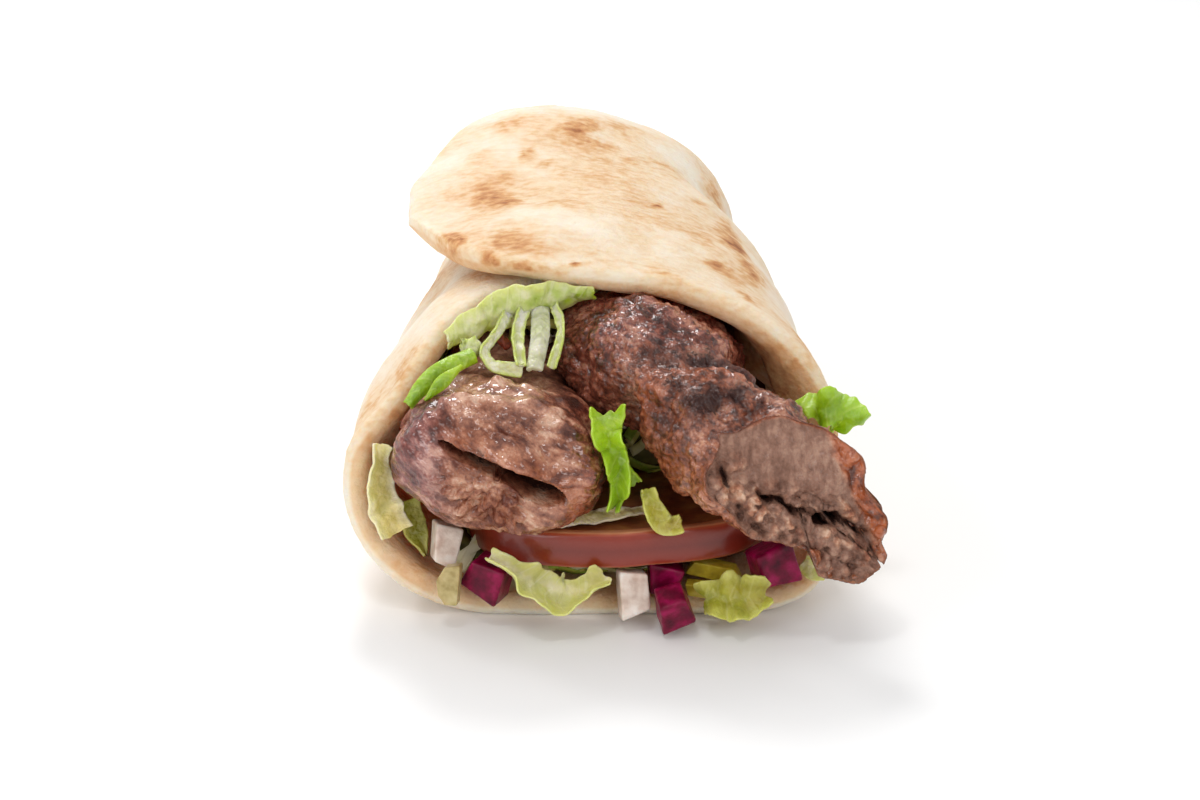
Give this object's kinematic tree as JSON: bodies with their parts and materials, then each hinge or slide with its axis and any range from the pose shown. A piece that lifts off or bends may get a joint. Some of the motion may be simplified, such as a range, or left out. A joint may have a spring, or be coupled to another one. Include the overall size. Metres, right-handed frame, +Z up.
{
  "type": "beef kebab wrap",
  "caption": "Flatbread rolled round grilled minced-beef kebabs, with tomato, lettuce and diced pickles showing at its open front end.",
  "frame": {"origin": "middle of the whole's underside, on the floor", "axes": "+Z up, the open end with the filling faces -Y, the roll runs back along +Y, the flap lies over the top towards -X"},
  "size_m": [0.0962, 0.1724, 0.0612],
  "materials": {
    "flatbread": "dry baked bread, matt with toasted spots",
    "kebab": "grilled minced beef, moist, half gloss",
    "tomato": "wet tomato, glossy",
    "salad": "shredded lettuce, half gloss",
    "lettuce": "fresh green lettuce, half gloss",
    "pale_lettuce": "pale lettuce heart, half gloss",
    "white_radish": "pickled white radish, wet",
    "pink_turnip": "magenta pickled turnip, wet",
    "green_pickle": "green pickle, wet",
    "chilli": "red chilli, wet"
  },
  "bodies": {
    "root": {"flatbread": "flatbread", "kebab_left": "kebab", "kebab_right": "kebab", "tomato_slice": "tomato", "salad_bed": "salad", "salad_front": "salad", "chilli_bit": "chilli", "lettuce_top": "lettuce", "lettuce_loop": "pale_lettuce", "lettuce_shred_a": "pale_lettuce", "lettuce_rib": "pale_lettuce", "lettuce_shred_b": "pale_lettuce", "lettuce_knob": "pale_lettuce", "lettuce_left": "lettuce", "lettuce_spike": "lettuce", "lettuce_pale_left": "pale_lettuce", "lettuce_low_left": "pale_lettuce", "lettuce_curl": "pale_lettuce", "lettuce_frill": "lettuce", "lettuce_tip_right": "lettuce", "lettuce_right": "lettuce", "lettuce_centre": "lettuce", "lettuce_dark": "lettuce", "lettuce_olive": "lettuce", "lettuce_strip_low": "pale_lettuce", "radish_left": "white_radish", "radish_centre": "white_radish", "turnip_left": "pink_turnip", "turnip_back": "pink_turnip", "turnip_front": "pink_turnip", "turnip_right": "pink_turnip", "pickle_wedge": "green_pickle", "pickle_spear_a": "green_pickle", "pickle_spear_b": "green_pickle"}
  },
  "joints": []
}
